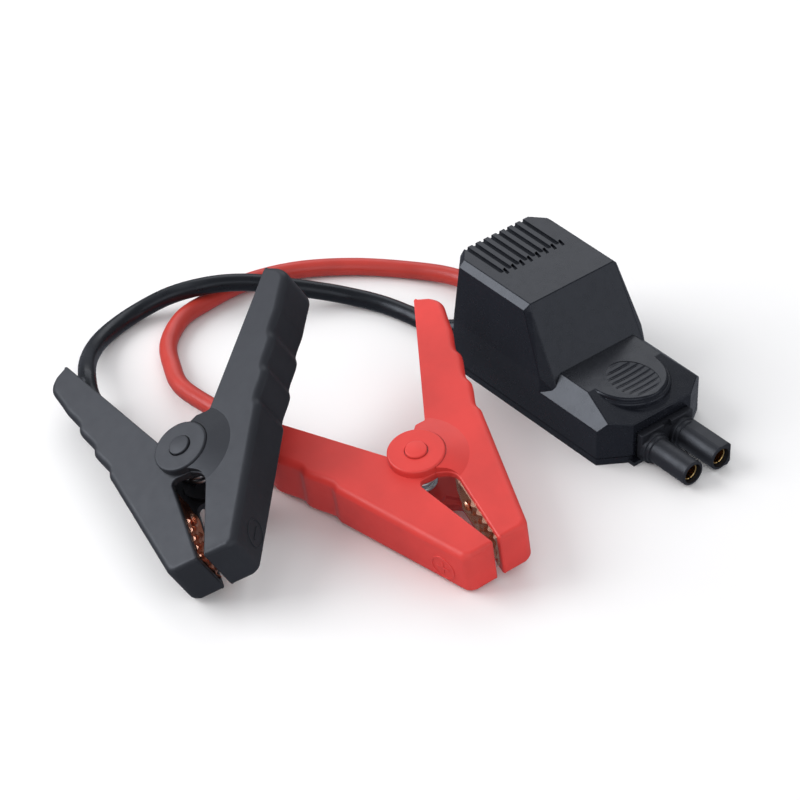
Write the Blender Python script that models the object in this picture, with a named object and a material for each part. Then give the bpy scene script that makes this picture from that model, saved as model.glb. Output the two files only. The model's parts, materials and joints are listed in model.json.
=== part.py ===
"""Smart clamp lead for a jump starter: control module with a two-pin plug, two leads and two clamps.

Frame: +X points from the module to its plug, +Z is up, and the origin is the centre of the
module's flat base. Every length below is in millimetres and MM turns it into metres.
"""
import math

import bmesh
import bpy
from mathutils import Euler, Matrix, Vector

MM = 0.001
FIT_GAP = 0.3            # clearance between touching pieces

# Module housing
REAR_X = -39.0           # rear face
FRONT_X = 39.0           # front face, behind the plug
BASE_HALF = 21.8         # half width at the base
BASE_T = 2.4             # thickness of the base cover
WALL = 2.0
CORNER = 4.6             # cut of the rear vertical corners
ROOF_Z = 39.9            # top of the tall block
ROOF_HALF = 17.6
ROOF_END_X = -3.3        # front edge of the roof
SHOULDER_Z = 37.9        # lower edge of the roof bevel
SHOULDER_HALF = 19.7
SIDE_END_X = 6.2         # the tall block's sides end here, at a chamfer to its front
SIDE_TOP_Z = 18.3        # the sides lean in above this height
FRONT_HALF = 18.6        # half width of the sloping front at its foot
DECK_Z = 19.0            # top of the low section
DECK_HALF = 15.5
DECK_START_X = 8.8       # foot of the sloping front of the tall block
NOSE_START_X = 21.5      # the deck slopes down from here
NOSE_Z = 14.7            # height of the front face
NOSE_HALF = 12.2
DECK_BEVEL_Z = 13.0      # lower edge of the deck's side bevel
CORNER_X = 32.8          # start of the front corner cut
GROOVE_COUNT = 8
GROOVE_PITCH = 3.35
GROOVE_WIDTH = 1.6
GROOVE_DEPTH = 1.1
GROOVE_LENGTH = 17.6
GROOVE_SHIFT = -1.2      # the row of grooves sits off centre
TONGUE_HALF = 13.2       # thumb rest: half width and forward reach
TONGUE_REACH = 13.0
DISH_X = 25.0            # centre of the thumb dish
DISH_HALF_X = 9.0
DISH_HALF_Y = 6.3
DISH_DEPTH = 0.7
LIP_FRONT_X = 40.9       # lip of the base cover below the plug
LIP_HALF = 13.2
LIP_T = 1.4
BOARD_Z = 5.0            # underside and top of the circuit board
BOARD_TOP_Z = 6.6
SCREW_SPOTS = ((-32.3, 17.8), (-32.3, -17.8), (28.0, 14.0), (28.0, -14.0))

# Plug
BARREL_PITCH = 12.0
BARREL_R = 4.2
BARREL_Z = 4.7
BARREL_END_X = 59.5
SOCKET_R = 3.0

# Leads
LEAD_R = 2.9
CORE_R = 1.6
LEAD_EXIT_Z = 5.6
LEAD_EXIT_Y = 11.5
LEAD_HOLE_R = 4.5        # holes for the grommets
LEAD_SIDES = 10
CROSSING_Z = 9.5         # height of the black lead where it lies over the red one

# Clamps, in their own frame: origin on the pivot, +X to the jaw tips, +Z along the pivot,
# half A (with the lead and the outer ears) on the -Y side, half B on the +Y side
CLAMP_HALF_T = 8.4       # half thickness of both halves
CHEEK = 2.0              # thickness of the moulded walls
EDGE = 0.9               # chamfer of the outer edges
DISC_R = 9.0
DISC_TOP = 11.1
DISC_LOW = 6.95          # underside of the outer ears
BOSS_R = 8.6
BOSS_TOP = 6.65          # inner ears of half B, between these heights
BOSS_LOW = 5.0
PIN_R = 2.0
CAP_R = 3.45
CAP_LOW = 9.7
CAP_TOP = 11.9
FLARE_R = 16.0           # raised cone of half B round the outer ears
FLARE_TOP = 10.4
CREST_X = -4.1           # first crest of the finger grip, and the spacing of the crests
CREST_Y = 26.4
CREST_PITCH = 11.7
GRIP_SLOPE = 0.35
SPRING_R = 4.6
SPRING_WIRE_R = 0.65
SPRING_TURNS = 3
PLATE_T = 1.2
PLATE_HALF_Z = 6.0
PLATE_TAIL_HALF_Z = 4.1
TOOTH_START_X = 23.3
TOOTH_COUNT = 5
TOOTH_PITCH = 3.75
TOOTH_RISE = 1.1
PLATE_START_X = 15.0
PLATE_START_Y = 6.2
PLATE_SLOPE = 0.13
PLATE_END_X = 40.4
RIVET_X = 20.0
RIVET_R = 1.0
RIVET_HEAD_R = 2.3

# Where each clamp lies on the floor: pivot centre in mm, then roll, pitch and yaw in degrees
RED_PIVOT = (13.1, -76.9, 13.05)
RED_TURN = (10.2, 4.0, -7.6)
BLACK_PIVOT = (-27.5, -130.3, 19.8)
BLACK_TURN = (29.8, 9.0, -32.2)

RED = (0.60, 0.055, 0.045)
LEAD_RED = (0.55, 0.06, 0.045)
BLACK = (0.022, 0.023, 0.027)
HOUSING_BLACK = (0.016, 0.017, 0.022)
COPPER = (0.72, 0.33, 0.20)
BRASS = (0.72, 0.50, 0.20)
STEEL = (0.55, 0.56, 0.58)
GREEN = (0.02, 0.16, 0.07)


# ---------------------------------------------------------------- helpers

def clear_scene():
    for obj in list(bpy.data.objects):
        bpy.data.objects.remove(obj, do_unlink=True)


def material(name, colour, roughness, metallic):
    """A Principled material with one colour."""
    mat = bpy.data.materials.new(name)
    mat.use_nodes = True
    shader = mat.node_tree.nodes["Principled BSDF"]
    shader.inputs["Base Color"].default_value = (*colour, 1.0)
    shader.inputs["Roughness"].default_value = roughness
    shader.inputs["Metallic"].default_value = metallic
    return mat


def finish(name, bm, mat=None, parent=None, smooth=None):
    """Turn a bmesh in millimetres into an object in metres."""
    bmesh.ops.recalc_face_normals(bm, faces=bm.faces[:])
    if bm.calc_volume(signed=True) < 0:
        bmesh.ops.reverse_faces(bm, faces=bm.faces[:])
    bmesh.ops.scale(bm, vec=(MM, MM, MM), verts=bm.verts[:])
    mesh = bpy.data.meshes.new(name)
    bm.to_mesh(mesh)
    bm.free()
    obj = bpy.data.objects.new(name, mesh)
    bpy.context.scene.collection.objects.link(obj)
    obj.parent = parent
    if mat:
        mesh.materials.append(mat)
    if smooth:
        mesh.shade_smooth()
        mesh.set_sharp_from_angle(angle=math.radians(smooth))
    return obj


def bake(obj):
    """Apply the modifiers of an object to its mesh."""
    graph = bpy.context.evaluated_depsgraph_get()
    mesh = bpy.data.meshes.new_from_object(obj.evaluated_get(graph))
    obj.modifiers.clear()
    obj.data = mesh


def combine(obj, tools, operation):
    """Boolean each tool into obj, one after the other, and remove the tools."""
    for tool in tools:
        tool.parent = obj.parent
        mod = obj.modifiers.new(operation.title(), "BOOLEAN")
        mod.operation = operation
        mod.solver = "EXACT"
        mod.object = tool
        bpy.context.view_layer.update()
        bake(obj)
        bpy.data.objects.remove(tool, do_unlink=True)
    return obj


def cut(obj, *tools):
    return combine(obj, tools, "DIFFERENCE")


def join(obj, *tools):
    return combine(obj, tools, "UNION")


def trim(obj, *tools):
    return combine(obj, tools, "INTERSECT")


def hull(name, points, mat=None, parent=None):
    """Convex solid around a set of points."""
    bm = bmesh.new()
    for point in points:
        bm.verts.new(point)
    made = bmesh.ops.convex_hull(bm, input=bm.verts[:])
    left_over = made["geom_interior"] + made["geom_unused"]
    inside = {item for item in left_over if isinstance(item, bmesh.types.BMVert)}
    bmesh.ops.delete(bm, geom=list(inside), context="VERTS")
    bmesh.ops.dissolve_limit(bm, angle_limit=math.radians(0.5), verts=bm.verts[:], edges=bm.edges[:])
    return finish(name, bm, mat, parent)


def box(name, low, high, mat=None, parent=None):
    corners = []
    for x in (low[0], high[0]):
        for y in (low[1], high[1]):
            corners += [(x, y, low[2]), (x, y, high[2])]
    return hull(name, corners, mat, parent)


def stack(name, rings, mat=None, parent=None, smooth=None, closed=False):
    """Skin a list of rings with the same number of points; the ends are capped unless closed."""
    bm = bmesh.new()
    loops = [[bm.verts.new(point) for point in ring] for ring in rings]
    count = len(loops[0])
    pairs = list(zip(loops, loops[1:]))
    if closed:
        pairs.append((loops[-1], loops[0]))
    for low, high in pairs:
        for i in range(count):
            j = (i + 1) % count
            bm.faces.new((low[i], low[j], high[j], high[i]))
    if not closed:
        bm.faces.new(loops[0][::-1])
        bm.faces.new(loops[-1])
    return finish(name, bm, mat, parent, smooth)


def offset(outline, distance):
    """Move a counter-clockwise outline inwards by a distance."""
    moved = []
    count = len(outline)
    for i in range(count):
        before = Vector(outline[i - 1])
        here = Vector(outline[i])
        after = Vector(outline[(i + 1) % count])
        a = (here - before).normalized()
        b = (after - here).normalized()
        normal = Vector((-a.y - b.y, a.x + b.x))
        scale = 2.0 / max(normal.length_squared, 1.0)
        moved.append(tuple(here + normal * scale * distance))
    return moved


def prism(name, outline, low, high, mat=None, parent=None, edge=0.0):
    """Extrude a plan outline in Z, with chamfered top and bottom edges."""
    heights = [(low, 0.0), (high, 0.0)]
    if edge:
        heights = [(low, edge), (low + edge, 0.0), (high - edge, 0.0), (high, edge)]
    rings = []
    for z, inset in heights:
        plan = offset(outline, inset) if inset else outline
        rings.append([(x, y, z) for x, y in plan])
    return stack(name, rings, mat, parent)


def turned(name, profile, sides, centre=(0.0, 0.0, 0.0), axis="Z", mat=None, parent=None,
           hollow=False):
    """Turn a profile of (radius, distance along the axis). A hollow profile is a closed loop."""
    rings = []
    for radius, along in profile:
        ring = []
        for i in range(sides):
            angle = 2.0 * math.pi * (i + 0.5) / sides
            u = radius * math.cos(angle)
            v = radius * math.sin(angle)
            local = (u, v, along) if axis == "Z" else (along, u, v)
            ring.append(tuple(Vector(local) + Vector(centre)))
        rings.append(ring)
    return stack(name, rings, mat, parent, smooth=40, closed=hollow)


def cylinder(name, radius, low, high, sides=24, centre=(0.0, 0.0, 0.0), axis="Z", mat=None,
             parent=None):
    return turned(name, [(radius, low), (radius, high)], sides, centre, axis, mat, parent)


def spline(points, per_span):
    """Centripetal Catmull-Rom curve through the points."""
    pts = [Vector(p) for p in points]
    pts = [pts[0] * 2 - pts[1]] + pts + [pts[-1] * 2 - pts[-2]]
    curve = []
    for p0, p1, p2, p3 in zip(pts, pts[1:], pts[2:], pts[3:]):
        t1 = (p1 - p0).length ** 0.5
        t2 = t1 + (p2 - p1).length ** 0.5
        t3 = t2 + (p3 - p2).length ** 0.5
        for step in range(per_span):
            t = t1 + (t2 - t1) * step / per_span
            a1 = p0 * ((t1 - t) / t1) + p1 * (t / t1)
            a2 = p1 * ((t2 - t) / (t2 - t1)) + p2 * ((t - t1) / (t2 - t1))
            a3 = p2 * ((t3 - t) / (t3 - t2)) + p3 * ((t - t2) / (t3 - t2))
            b1 = a1 * ((t2 - t) / t2) + a2 * (t / t2)
            b2 = a2 * ((t3 - t) / (t3 - t1)) + a3 * ((t - t1) / (t3 - t1))
            curve.append(b1 * ((t2 - t) / (t2 - t1)) + b2 * ((t - t1) / (t2 - t1)))
    curve.append(pts[-2])
    return curve


def sweep(name, path, section, mat=None, parent=None, smooth=60):
    """Sweep a section of (side, up) points along a path, without twist."""
    path = [Vector(p) for p in path]
    rings = []
    up = Vector((0.0, 0.0, 1.0))
    for i, point in enumerate(path):
        ahead = path[min(i + 1, len(path) - 1)]
        behind = path[max(i - 1, 0)]
        direction = (ahead - behind).normalized()
        up = (up - direction * up.dot(direction)).normalized()
        side = direction.cross(up)
        rings.append([tuple(point + side * s + up * u) for s, u in section])
    return stack(name, rings, mat, parent, smooth)


def circle(radius, sides):
    return [(radius * math.cos(2 * math.pi * i / sides), radius * math.sin(2 * math.pi * i / sides))
            for i in range(sides)]


# ---------------------------------------------------------------- control module

def both(*points):
    """Points and their mirror images across the module's middle plane."""
    return [(x, sign * y, z) for x, y, z in points for sign in (1, -1)]


def nose_height(x):
    """Height of the sloping deck ahead of its flat part."""
    return DECK_Z - (x - NOSE_START_X) * (DECK_Z - NOSE_Z) / (FRONT_X - NOSE_START_X)


def base_outline(inset=0.0, low=0.0, high=BASE_T):
    plan = ((REAR_X + inset, BASE_HALF - CORNER - 0.4 * inset),
            (REAR_X + CORNER + 0.4 * inset, BASE_HALF - inset),
            (CORNER_X - 0.3 * inset, BASE_HALF - inset),
            (FRONT_X - inset, NOSE_HALF - 0.4 * inset))
    return both(*[(x, y, z) for x, y in plan for z in (low, high)])


def tall_block(name, inset, floor):
    """Tall rear block of the housing; inset gives the same shape for the cavity."""
    slope = (DECK_START_X - ROOF_END_X) / (ROOF_Z - DECK_Z)
    roof = ROOF_Z - inset
    roof_half = ROOF_HALF - inset * 0.4
    shoulder = SHOULDER_Z - inset * 0.4
    side = BASE_HALF - inset
    rear = REAR_X + inset
    corner_x = REAR_X + CORNER
    front = ROOF_END_X - inset * 1.16
    foot_x = front + slope * (ROOF_Z - DECK_BEVEL_Z)
    side_x = SIDE_END_X - inset * 1.16
    points = both(
        (rear, roof_half - CORNER + 0.4, roof),
        (corner_x, roof_half, roof),
        (front, roof_half, roof),
        (rear, SHOULDER_HALF - CORNER - inset * 0.4, shoulder),
        (corner_x, SHOULDER_HALF - inset, shoulder),
        (front - 0.8, SHOULDER_HALF - inset, shoulder),
        (front + slope * (ROOF_Z - SHOULDER_Z), ROOF_HALF + 0.5 - inset, shoulder),
        (rear, side - CORNER + inset * 0.6, SIDE_TOP_Z),
        (corner_x, side, SIDE_TOP_Z),
        (side_x, side, SIDE_TOP_Z),
        (foot_x, FRONT_HALF - inset, DECK_BEVEL_Z),
        (rear, side - CORNER + inset * 0.6, floor),
        (corner_x, side, floor),
        (side_x, side, floor),
        (foot_x, FRONT_HALF - inset, floor),
    )
    return hull(name, points)


def low_block(name, inset, floor):
    """Low front section with side bevels, sloping nose and cut corners."""
    start = -12.0
    bevel = (BASE_HALF - DECK_HALF) / (DECK_Z - DECK_BEVEL_Z)
    corner_x = 34.67
    corner_z = nose_height(corner_x)
    points = both(
        (start, BASE_HALF - inset, floor),
        (start, BASE_HALF - inset, DECK_BEVEL_Z - inset * 0.5),
        (start, DECK_HALF - inset * 0.4, DECK_Z - inset),
        (NOSE_START_X, DECK_HALF - inset * 0.4, DECK_Z - inset),
        (corner_x - inset, DECK_HALF + bevel * (DECK_Z - corner_z) - inset * 0.8, corner_z - inset),
        (CORNER_X - inset * 0.4, BASE_HALF - inset, DECK_BEVEL_Z - inset * 0.5),
        (CORNER_X - inset * 0.4, BASE_HALF - inset, floor),
        (FRONT_X - inset, NOSE_HALF - inset * 0.4, floor),
        (FRONT_X - inset, NOSE_HALF - inset * 0.4, NOSE_Z - inset),
    )
    return hull(name, points)


def thumb_tongue():
    """Raised rounded rest that carries the deck's level forward over the sloping nose."""
    arc = []
    for i in range(13):
        angle = math.radians(-90 + 15 * i)
        arc.append((NOSE_START_X + TONGUE_REACH * math.cos(angle), TONGUE_HALF * math.sin(angle)))
    plan = arc + [(NOSE_START_X - 6.0, TONGUE_HALF), (NOSE_START_X - 6.0, -TONGUE_HALF)]
    wider = [(x + (1.0 if x > NOSE_START_X else 0.0), y * 1.05) for x, y in plan]
    rings = [[(x, y, NOSE_Z - 1.6) for x, y in wider],
             [(x, y, DECK_Z - 1.0) for x, y in plan],
             [(x, y, DECK_Z - 0.02) for x, y in offset(plan, 0.8)]]
    return stack("tongue", rings)


def dish_cutter():
    """Shallow oval hollow in the thumb rest."""
    rings = []
    for z, scale in ((DECK_Z - DISH_DEPTH, 0.96), (DECK_Z + 1.0, 1.04)):
        rings.append([(DISH_X + DISH_HALF_X * scale * u, DISH_HALF_Y * scale * v, z)
                      for u, v in circle(1.0, 24)])
    return stack("dish", rings)


def roof_grooves():
    """Parallel cooling grooves that run out through the rear edge of the roof."""
    tools = []
    for i in range(GROOVE_COUNT):
        y = (i - (GROOVE_COUNT - 1) / 2) * GROOVE_PITCH + GROOVE_SHIFT
        low = (REAR_X - 1.0, y - GROOVE_WIDTH / 2, ROOF_Z - GROOVE_DEPTH)
        high = (REAR_X + GROOVE_LENGTH, y + GROOVE_WIDTH / 2, ROOF_Z + 1.0)
        tools.append(box("groove", low, high))
    return tools


def lead_exits(name, radius, low, high, sides=16):
    """A cylinder along each of the two lead exits."""
    return [cylinder(name, radius, low, high, sides, (0.0, sign * LEAD_EXIT_Y, LEAD_EXIT_Z), "X")
            for sign in (1, -1)]


def housing_upper(mat):
    floor = BASE_T + FIT_GAP
    shell = tall_block("upper_housing", 0.0, floor)
    shell.data.materials.append(mat)
    join(shell, low_block("low", 0.0, floor), thumb_tongue())
    cut(shell, tall_block("cavity_tall", WALL + 0.2, floor - 1.0), low_block("cavity_low", WALL, floor - 1.0))
    for x, y in SCREW_SPOTS:
        top = ROOF_Z - WALL if x < 0 else nose_height(x) - WALL
        join(shell, cylinder("boss", 3.0, floor + 0.01, top, 16, (x, y, 0)))
    cut(shell, *roof_grooves(), dish_cutter())
    tools = [cylinder("pilot", 1.5, -1.0, 12.0, 12, (x, y, 0)) for x, y in SCREW_SPOTS]
    tools.append(box("plug_opening", (33.0, -10.7, 0.0), (FRONT_X + 1.0, 10.7, 11.0)))
    tools += lead_exits("lead_hole", LEAD_HOLE_R, REAR_X - 1.0, REAR_X + 4.0)
    return cut(shell, *tools)


def housing_lower(mat):
    plate = hull("base_cover", base_outline(), mat)
    lip = box("lip", (34.0, -LIP_HALF, 0.0), (LIP_FRONT_X, LIP_HALF, LIP_T))
    post_top = BOARD_Z - FIT_GAP
    posts = [cylinder("post", 1.6, BASE_T - 0.5, post_top, 8, (x, y, 0))
             for x in (-22, 20) for y in (-14, 14)]
    join(plate, lip, *posts)
    for x, y in SCREW_SPOTS:
        cut(plate, cylinder("head_well", 2.7, -1.0, 1.6, 12, (x, y, 0)),
            cylinder("shank_hole", 1.5, -1.0, 4.0, 8, (x, y, 0)))
    return cut(plate, *lead_exits("lead_notch", LEAD_HOLE_R, REAR_X - 1.0, REAR_X + 4.4))


def housing_screws(mat):
    for number, (x, y) in enumerate(SCREW_SPOTS, 1):
        screw = turned(f"housing_screw_{number}", [(2.4, 0.3), (2.4, 1.3), (1.2, 1.3), (1.2, 10.0)],
                       12, (x, y, 0), "Z", mat)
        cut(screw, box("slot_a", (x - 1.5, y - 0.3, -1), (x + 1.5, y + 0.3, 0.8)),
            box("slot_b", (x - 0.3, y - 1.5, -1), (x + 0.3, y + 1.5, 0.8)))


def plug(mat, brass):
    """Two-barrel plug: one barrel is round, the other has flat outer sides as a key."""
    body = box("plug_body", (31.0, -10.4, BASE_T + 0.3), (39.6, 10.4, 10.7), mat)
    join(body, box("flange", (FRONT_X + FIT_GAP, -10.9, 1.8), (41.6, 10.9, 10.9)))
    for sign in (-1, 1):
        centre = (0.0, sign * BARREL_PITCH / 2, BARREL_Z)
        profile = [(5.3, 41.3), (5.3, 43.0), (4.75, 43.0), (4.75, 44.3), (BARREL_R, 44.3),
                   (BARREL_R, BARREL_END_X - 0.4), (BARREL_R - 0.4, BARREL_END_X)]
        barrel = turned("barrel", profile, 20, centre, "X")
        cut(barrel, box("floor", (39.0, -20, -5), (48.0, 20, 0.35)))
        join(body, barrel)
    key_y = BARREL_PITCH / 2
    key = [(43.5, key_y - 0.5, BARREL_Z - 3.6), (43.5, key_y + 3.0, BARREL_Z - 4.2),
           (43.5, key_y + 4.2, BARREL_Z - 3.0), (43.5, key_y + 4.2, BARREL_Z + 3.2),
           (43.5, key_y + 3.2, BARREL_Z + 4.2), (43.5, key_y - 0.5, BARREL_Z + 4.2)]
    key += [(BARREL_END_X, y, z) for _, y, z in key]
    join(body, hull("key", key))
    cut(body, box("keyway", (40.2, -1.6, 9.2), (44.0, 1.6, 12.0)))
    for sign, name in ((-1, "positive_socket"), (1, "negative_socket")):
        centre = (0.0, sign * BARREL_PITCH / 2, BARREL_Z)
        cut(body, cylinder("bore", SOCKET_R + 0.3, 42.2, 61.0, 20, centre, "X"),
            cylinder("tail_bore", 2.0, 30.0, 43.0, 12, centre, "X"))
        profile = [(1.7, 28.5), (1.7, 42.5), (SOCKET_R, 42.5), (SOCKET_R, 58.0), (SOCKET_R - 0.4, 58.4),
                   (2.3, 58.4), (2.3, 46.0)]
        socket = turned(name, profile, 20, centre, "X", brass)
        cut(socket, box("slit", (50.0, centre[1] - 0.3, -1.0), (60.0, centre[1] + 0.3, 12.0)))


def board(mats):
    """Circuit board with its parts, and the bars that take the current to the plug."""
    seat = BOARD_TOP_Z + FIT_GAP
    box("circuit_board", (-24.9, -17.0, BOARD_Z), (24.0, 17.0, BOARD_TOP_Z), mats["green"])
    box("relay", (-23.0, -13.0, seat), (-3.0, 3.0, 23.5), mats["black"])
    box("diode_block", (9.0, -15.0, seat), (22.0, -10.0, 11.0), mats["black"])
    box("controller_chip", (-2.0, 11.0, seat), (5.0, 16.0, 8.4), mats["black"])
    turned("filter_capacitor", [(4.6, seat), (5.0, seat + 0.5), (5.0, 21.0), (4.6, 21.5)], 16,
           (-17.0, 9.5, 0), "Z", mats["black"])
    spot = (14.0, 11.3, 0.0)
    buzzer = turned("buzzer", [(4.4, seat), (4.4, 12.4), (4.0, 12.8)], 16, spot, "Z", mats["black"])
    cut(buzzer, cylinder("sound_hole", 1.0, 11.0, 14.0, 10, spot))
    for sign, name in ((-1, "positive_bar"), (1, "negative_bar")):
        y = sign * BARREL_PITCH / 2
        box(name, (20.5, y - 2.2, seat), (30.5, y + 2.2, seat + 1.0), mats["brass"])


def strain_relief(name, sign, mat):
    """Rubber grommet that clips into the rear wall, one for each lead."""
    bore = LEAD_R + FIT_GAP
    collar = REAR_X - FIT_GAP
    body_r = LEAD_HOLE_R - FIT_GAP
    profile = [(bore, -41.2), (4.0, -41.2), (4.9, collar), (body_r, collar), (body_r, -35.3), (bore, -35.3)]
    return turned(name, profile, 16, (0.0, sign * LEAD_EXIT_Y, LEAD_EXIT_Z), "X", mat, hollow=True)


# ---------------------------------------------------------------- clamps

def clamp_frame(pivot, turn):
    """Matrix from a clamp's own frame to the part's frame, in millimetres."""
    rotation = Euler([math.radians(angle) for angle in turn], "XYZ").to_matrix().to_4x4()
    return Matrix.Translation(Vector(pivot)) @ rotation


def mirrored(plan, sign):
    """Plan of the +Y side, or its mirror image for the -Y side."""
    if sign < 0:
        return [(x, -y) for x, y in plan][::-1]
    return plan


def half_outline(sign):
    """Plan of one clamp half: jaw, scalloped grip, tail and inner edge; sign picks the side."""
    if sign > 0:
        opening = [(8.6, 0.9), (10.6, 3.4), (13.2, 4.9), (16.0, 5.15)]
        root = [(-12.6, 11.0), (-11.2, 9.6), (-10.4, 7.6), (-9.0, 3.6)]
    else:
        opening = [(9.0, 1.3), (9.3, 4.4), (10.4, 5.8), (12.4, 5.75)]
        root = [(-12.6, 11.0), (-5.2, 6.75)]
    tip = [(42.4, 1.0), (43.3, 2.0), (43.5, 9.2), (42.6, 11.0), (40.6, 12.1)]
    grip = []
    for number in range(3):
        crest = CREST_X - number * CREST_PITCH
        level = CREST_Y + GRIP_SLOPE * number * CREST_PITCH
        grip += [(crest, level), (crest - 3.0, level - 0.15), (crest - 7.4, level + 2.1)]
    tail = [(-39.2, 38.7), (-47.5, 41.7), (-51.0, 42.4), (-54.2, 41.1), (-56.1, 38.9), (-56.8, 36.2)]
    return mirrored(opening + tip + grip + tail + root, sign)


def pocket_outline(sign):
    """Plan of the channel inside a clamp half, open along its inner edge."""
    plan = [(8.0, -1.0), (40.8, -1.0), (41.0, 9.8), (-4.4, 23.9), (-6.5, 23.6), (-47.0, 38.6),
            (-51.0, 39.4), (-53.4, 38.2), (-54.4, 37.0), (-60.0, 37.0), (-60.0, 31.0), (-13.0, 4.0),
            (-9.0, -1.0)]
    return mirrored(plan, sign)


def rivet_pillar(sign):
    """Post inside the jaw that takes the rivet of the toothed plate."""
    low = RIVET_X - 2.2
    high = RIVET_X + 2.2
    plan = [(low, plate_back(low) + FIT_GAP), (high, plate_back(high) + FIT_GAP), (high, 16.5), (low, 17.5)]
    return prism("pillar", mirrored(plan, sign), -6.6, 6.6)


def flare(side):
    """Cone that stands on a cheek of half B round the disc; side picks the top or the bottom cheek."""
    seat_r = DISC_R + 0.4
    slope = (FLARE_TOP - CLAMP_HALF_T) / (FLARE_R - seat_r)
    foot_r = FLARE_R + 1.0
    foot = CLAMP_HALF_T - slope
    profile = [(foot_r, foot - 0.5), (foot_r, foot), (DISC_R, foot + slope * (foot_r - DISC_R))]
    cone = turned("flare", [(radius, side * z) for radius, z in profile], 36)
    low, high = sorted((side * (foot - 1.0), side * (FLARE_TOP + 1.0)))
    return trim(cone, prism("flare_plan", offset(half_outline(1), EDGE), low, high))


def plate_back(x):
    """Distance of the toothed plate's back from the middle plane."""
    return PLATE_START_Y - (x - PLATE_START_X) * PLATE_SLOPE


def across_jaw(rod, sign):
    """Turn a body built along +Z so that it stands out from the middle plane at the rivet."""
    for vertex in rod.data.vertices:
        x, y, z = vertex.co
        vertex.co = (x + RIVET_X * MM, sign * z, y)
    if sign > 0:
        rod.data.flip_normals()
    return rod


def rivet_hole(sign):
    return across_jaw(cylinder("rivet_hole", RIVET_R + FIT_GAP, 2.0, 14.0, 12), sign)


def handle(name, sign, mat, parent):
    """Moulded half of a clamp: a channel with cheeks, outer wall and jaw end."""
    body = prism(name, half_outline(sign), -CLAMP_HALF_T, CLAMP_HALF_T, mat, parent, EDGE)
    hollow = CLAMP_HALF_T - CHEEK
    cut(body, prism("pocket", pocket_outline(sign), -hollow, hollow))
    join(body, rivet_pillar(sign))
    cut(body, rivet_hole(sign))
    if sign < 0:
        cut(body, cylinder("boss_room", DISC_R + 0.3, -DISC_LOW, DISC_LOW, 30))
        for low, high in ((DISC_LOW, DISC_TOP), (-DISC_TOP, -DISC_LOW)):
            join(body, turned("disc", [(DISC_R, low), (DISC_R, high)], 30))
        cut(body, cylinder("pin_bore", PIN_R + FIT_GAP, -15.0, 15.0, 14))
        for low, high in ((9.6, 12.0), (-12.0, -9.6)):
            cut(body, cylinder("cap_seat", CAP_R + 0.2, low, high, 20))
    else:
        join(body, flare(1), flare(-1))
        for low, high in ((BOSS_TOP, 12.0), (-12.0, -BOSS_TOP)):
            cut(body, cylinder("disc_room", DISC_R + 0.4, low, high, 30))
        for low, high in ((BOSS_LOW, BOSS_TOP), (-BOSS_TOP, -BOSS_LOW)):
            ear = [(BOSS_R * math.cos(a), BOSS_R * math.sin(a))
                   for a in [math.radians(160 + 15 * i) for i in range(16)]]
            ear += [(11.5, 6.2), (10.0, 10.5), (0.0, 14.0), (-9.5, 11.0)]
            join(body, prism("ear", ear, low, high))
        cut(body, cylinder("pin_bore", PIN_R + FIT_GAP, -15.0, 15.0, 14))
    return body


def jaw_plate(name, sign, mat, parent):
    """Toothed copper contact strip with a narrow tail that reaches back beside the spring."""
    start = PLATE_START_X
    front = [(start, plate_back(start) - PLATE_T)]
    for number in range(TOOTH_COUNT):
        x = TOOTH_START_X + number * TOOTH_PITCH
        crest = x + TOOTH_PITCH / 2
        front += [(x, plate_back(x) - PLATE_T), (crest, plate_back(crest) - PLATE_T - TOOTH_RISE)]
    front.append((PLATE_END_X, plate_back(PLATE_END_X) - PLATE_T))
    back = [(PLATE_END_X, plate_back(PLATE_END_X)), (start, plate_back(start))]
    tail = [(7.6, 9.6), (start + 0.4, plate_back(start) - PLATE_T), (start + 0.8, plate_back(start)),
            (8.2, 10.7)]
    strip = prism(name, mirrored(front + back, sign), -PLATE_HALF_Z, PLATE_HALF_Z, mat, parent)
    join(strip, prism("tail", mirrored(tail, sign), -PLATE_TAIL_HALF_Z, PLATE_TAIL_HALF_Z))
    return cut(strip, rivet_hole(sign))


def rivet(name, sign, mat, parent):
    head = plate_back(RIVET_X) - PLATE_T - FIT_GAP - RIVET_HEAD_R * PLATE_SLOPE
    profile = [(RIVET_HEAD_R - 0.3, head - 0.9), (RIVET_HEAD_R, head - 0.5), (RIVET_HEAD_R, head),
               (RIVET_R, head), (RIVET_R, 13.4)]
    return across_jaw(turned(name, profile, 12, mat=mat, parent=parent), sign)


def torsion_spring(name, mat, parent):
    """Coil around the pin with one leg along each handle."""
    height = 4.1
    steps = SPRING_TURNS * 12 + 8
    start = math.radians(-60)
    total = 2 * math.pi * SPRING_TURNS + math.radians(240)
    path = [(-22.0, -24.5, -height), (-12.0, -15.8, -height)]
    for i in range(steps + 1):
        share = i / steps
        angle = start - total * share
        path.append((SPRING_R * math.cos(angle), SPRING_R * math.sin(angle), height * (2 * share - 1)))
    path += [(-12.0, 15.8, height), (-22.0, 24.5, height)]
    return sweep(name, path, circle(SPRING_WIRE_R, 6), mat, parent)


def pin_cap(name, side, mat, parent):
    """Cap pressed over an end of the pin, with a chamfered outer rim."""
    profile = [(CAP_R, side * CAP_LOW), (CAP_R, side * (CAP_TOP - 0.3)), (CAP_R - 0.3, side * CAP_TOP)]
    return turned(name, profile, 20, mat=mat, parent=parent)


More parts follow.
